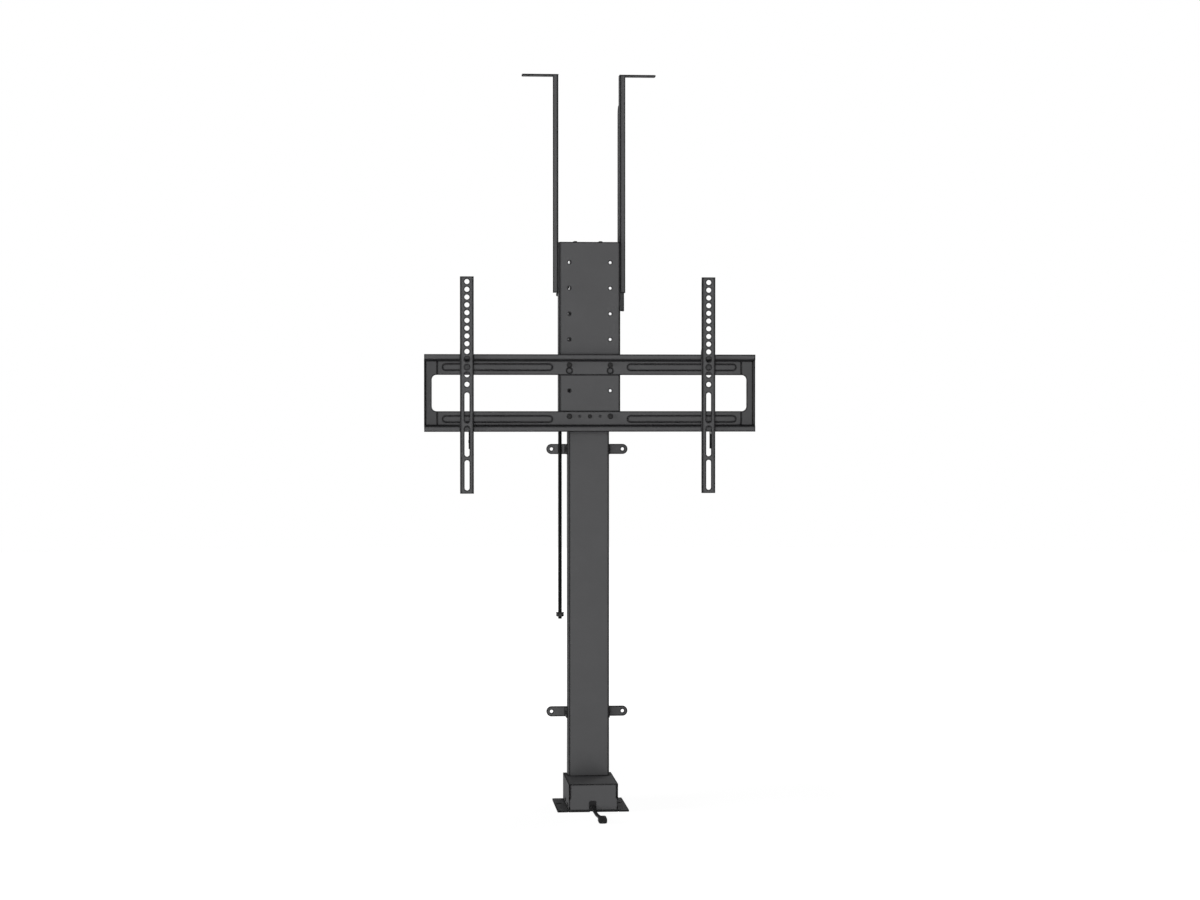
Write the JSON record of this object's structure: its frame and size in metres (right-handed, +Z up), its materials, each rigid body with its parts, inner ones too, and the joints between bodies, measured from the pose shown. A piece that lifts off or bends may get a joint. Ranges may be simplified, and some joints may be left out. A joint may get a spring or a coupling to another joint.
{
  "type": "tv lift mechanism",
  "caption": "Motorised telescopic column on a floor base that raises a crossbar with hooked screen arms and two lid brackets.",
  "frame": {"origin": "on the floor, under the column's axis, on the floor plate's underside", "axes": "+X right as the screen is seen, +Y to the back, +Z up"},
  "size_m": [0.646, 0.309, 1.429],
  "materials": {
    "powder_coated_steel": "matt black powder coat",
    "blackened_fasteners": "black oxide",
    "black_nylon": "moulded nylon",
    "glide_acetal": "natural acetal",
    "nut_bronze": "machined bronze",
    "ground_steel": "ground and oiled",
    "gearbox_alloy": "die cast",
    "motor_enamel": "satin enamel",
    "lead_pvc": "soft PVC sheath"
  },
  "bodies": {
    "root": {"base_plate": "powder_coated_steel", "base_cover": "powder_coated_steel", "cover_screws": "blackened_fasteners", "cable_bush": "black_nylon", "gearbox_lower": "gearbox_alloy", "gearbox_upper": "gearbox_alloy", "gearbox_screws": "blackened_fasteners", "thrust_bearing": "ground_steel", "motor_can": "motor_enamel", "motor_end_cap": "black_nylon", "outer_column": "powder_coated_steel", "outer_collar": "black_nylon", "lower_left_ear": "powder_coated_steel", "lower_right_ear": "powder_coated_steel", "upper_left_ear": "powder_coated_steel", "upper_right_ear": "powder_coated_steel", "column_screws": "blackened_fasteners", "rod_guide": "powder_coated_steel", "worm_shaft": "ground_steel", "power_lead": "lead_pvc", "lead_connector": "black_nylon"},
    "drive_screw": {"drive_screw": "ground_steel", "worm_wheel": "nut_bronze", "spline_collar": "ground_steel"},
    "mid_stage": {"mid_column": "powder_coated_steel", "mid_collar": "black_nylon", "mid_glides": "glide_acetal", "lower_nut": "nut_bronze", "thrust_washer": "nut_bronze"},
    "hollow_screw": {"hollow_screw": "ground_steel"},
    "carriage": {"inner_column": "powder_coated_steel", "inner_cap": "powder_coated_steel", "inner_glides": "glide_acetal", "upper_nut": "nut_bronze", "sleeve_plate": "powder_coated_steel", "top_bolts": "blackened_fasteners", "left_lid_bracket": "powder_coated_steel", "right_lid_bracket": "powder_coated_steel", "lid_bolts": "blackened_fasteners", "cable_duct": "powder_coated_steel", "duct_screws": "blackened_fasteners", "rod_hanger": "powder_coated_steel", "stop_rod": "blackened_fasteners", "rod_nuts": "blackened_fasteners", "upper_rail": "powder_coated_steel", "lower_rail": "powder_coated_steel", "left_end_plate": "powder_coated_steel", "right_end_plate": "powder_coated_steel", "crossbar_bolts": "blackened_fasteners", "centre_screw": "blackened_fasteners"},
    "left_arm": {"left_arm": "powder_coated_steel", "left_lock_plate": "powder_coated_steel", "left_lock_pin": "blackened_fasteners"},
    "right_arm": {"right_arm": "powder_coated_steel", "right_lock_plate": "powder_coated_steel", "right_lock_pin": "blackened_fasteners"}
  },
  "joints": [
    {"name": "lift", "type": "slide", "parent": "root", "child": "carriage", "axis": [0, 0, 1], "range_m": [-0.24, 0.36]},
    {"name": "mid_stage_slide", "type": "slide", "parent": "root", "child": "mid_stage", "axis": [0, 0, 1], "range_m": [-0.12, 0.18]},
    {"name": "drive_screw_spin", "type": "hinge", "parent": "root", "child": "drive_screw", "pos_m": [0, 0, 0.2], "axis": [0, 0, 1], "range_deg": [-6490, 4330]},
    {"name": "hollow_screw_spin", "type": "hinge", "parent": "mid_stage", "child": "hollow_screw", "pos_m": [0, 0, 0.38], "axis": [0, 0, 1], "range_deg": [-6490, 4330]},
    {"name": "left_arm_slide", "type": "slide", "parent": "carriage", "child": "left_arm", "axis": [1, 0, 0], "range_m": [-0.0595, 0.1405]},
    {"name": "right_arm_slide", "type": "slide", "parent": "carriage", "child": "right_arm", "axis": [1, 0, 0], "range_m": [-0.13, 0.07]}
  ],
  "couplings": [
    {"joint": "mid_stage_slide", "follows": "lift", "ratio": 0.5},
    {"joint": "drive_screw_spin", "follows": "lift", "rad_per_m": -314.16},
    {"joint": "hollow_screw_spin", "follows": "lift", "rad_per_m": -314.16}
  ]
}
